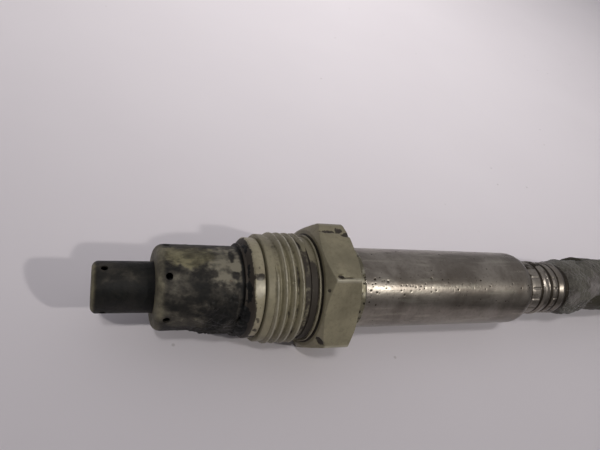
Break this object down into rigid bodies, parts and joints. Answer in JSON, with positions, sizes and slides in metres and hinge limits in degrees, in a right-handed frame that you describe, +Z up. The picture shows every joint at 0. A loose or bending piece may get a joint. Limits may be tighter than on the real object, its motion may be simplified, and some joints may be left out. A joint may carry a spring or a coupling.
{
  "type": "exhaust gas sensor",
  "caption": "Exhaust gas sensor probe: slotted-cover tip, flange, free turning M20 union nut with hexagon, steel sleeve, crimped tail and sleeved lead with plug.",
  "frame": {"origin": "on the probe axis, in the plane of the seat edge at the front of the housing flange", "axes": "+X along the probe axis from the tip towards the lead, +Z up with the probe lying on a flat of its hexagon"},
  "size_m": [0.2007, 0.1026, 0.0249],
  "materials": {
    "tip_steel": "deep drawn heat resistant steel, sooted almost black",
    "cover_steel": "deep drawn heat resistant steel, mottled with soot and baked on deposit",
    "housing_steel": "turned steel, polished flange with a sooted seat",
    "collar_steel": "turned steel, straw coloured by heat",
    "nut_steel": "machined steel, dull olive beige with worn corners",
    "sleeve_steel": "drawn steel, dark and heat stained with fine pits",
    "element_ceramic": "sintered zirconia layers, matt",
    "alumina": "sintered alumina, matt",
    "talc": "pressed talc powder, matt",
    "spring_steel": "stamped spring steel",
    "grommet_rubber": "fluoro rubber, matt black",
    "wire_cover": "insulated stranded wire",
    "lead_braid": "black braided sleeve",
    "glass_fibre": "glass fibre braid, frayed, grey brown with dirt",
    "boot_rubber": "shrunk black tube, satin",
    "tie_fabric": "black woven hook and loop strap",
    "plug_plastic": "moulded polyester, fine spark eroded texture",
    "seal_rubber": "silicone rubber, satin",
    "cap_plastic": "moulded polyester, matt grey",
    "blade_metal": "tinned copper alloy",
    "lock_plastic": "moulded polyester, violet"
  },
  "bodies": {
    "probe": {"inner_cover": "tip_steel", "outer_cover": "cover_steel", "housing": "housing_steel", "retaining_collar": "collar_steel", "sensing_element": "element_ceramic", "front_ceramic_support": "alumina", "front_talc_seal": "talc", "middle_ceramic_support": "alumina", "rear_talc_seal": "talc", "rear_ceramic_support": "alumina", "packing_washer": "spring_steel", "rear_sleeve": "sleeve_steel", "contact_holder_upper": "alumina", "contact_holder_lower": "alumina", "contact_springs": "spring_steel", "holder_clip": "spring_steel", "sealing_grommet": "grommet_rubber", "inner_wires": "wire_cover", "lead": "lead_braid", "fibre_sleeve": "glass_fibre", "lead_boot": "boot_rubber", "coil_tie": "tie_fabric", "plug_housing": "plug_plastic", "plug_wire_seal": "seal_rubber", "plug_rear_cap": "cap_plastic", "plug_blades": "blade_metal"},
    "nut": {"union_nut": "nut_steel"},
    "lock": {"secondary_lock": "lock_plastic"}
  },
  "joints": [
    {"name": "nut_turn", "type": "hinge", "parent": "probe", "child": "nut", "pos_m": [0.01, 0, 0], "axis": [1, 0, 0], "continuous": true},
    {"name": "lock_slide", "type": "slide", "parent": "probe", "child": "lock", "axis": [0, -1, 0], "range_m": [0, 0.0022]}
  ]
}
